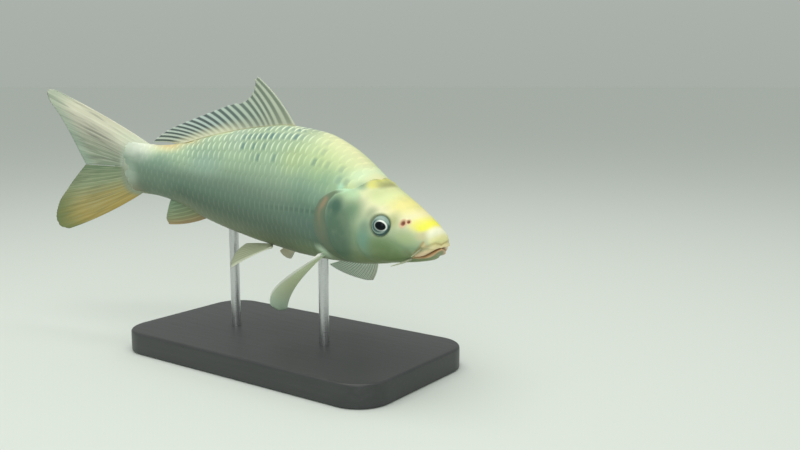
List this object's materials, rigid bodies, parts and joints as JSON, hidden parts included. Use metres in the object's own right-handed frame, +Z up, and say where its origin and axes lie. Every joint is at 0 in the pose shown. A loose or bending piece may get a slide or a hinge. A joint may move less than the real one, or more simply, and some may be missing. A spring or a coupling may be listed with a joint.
{
  "type": "koi carp",
  "caption": "Life-size still model of a pale koi carp turning as it swims, held over a flat display base by two short rods.",
  "frame": {"origin": "centre of the stand base's underside, below the middle of the fish's body", "axes": "+Z up, +X the way the fish faces at the middle of its body, +Y to its left"},
  "size_m": [0.3194, 0.105, 0.173],
  "materials": {
    "skin": "moist scaled skin, pale cream to silver grey",
    "fin": "thin membrane between pale rays",
    "lip": "soft pinkish orange skin",
    "eye": "polished, wet",
    "stand_base": "satin charcoal lacquer",
    "stand_rod": "brushed"
  },
  "bodies": {
    "root": {"head": "skin", "trunk_front": "skin", "trunk_middle": "skin", "trunk_rear": "skin", "tail_stalk": "skin", "gill_cover_left": "skin", "gill_cover_right": "skin", "eye_left": "eye", "eye_right": "eye", "upper_lip": "lip", "lower_lip": "lip", "barbel_corner_left": "lip", "barbel_corner_right": "lip", "barbel_lip_left": "lip", "barbel_lip_right": "lip", "dorsal_fin": "fin", "anal_fin": "fin", "tail_fin_upper": "fin", "tail_fin_lower": "fin", "pectoral_fin_left": "fin", "pectoral_fin_right": "fin", "pelvic_fin_left": "fin", "pelvic_fin_right": "fin", "stand_base": "stand_base", "stand_rod_front": "stand_rod", "stand_rod_rear": "stand_rod"}
  },
  "joints": []
}
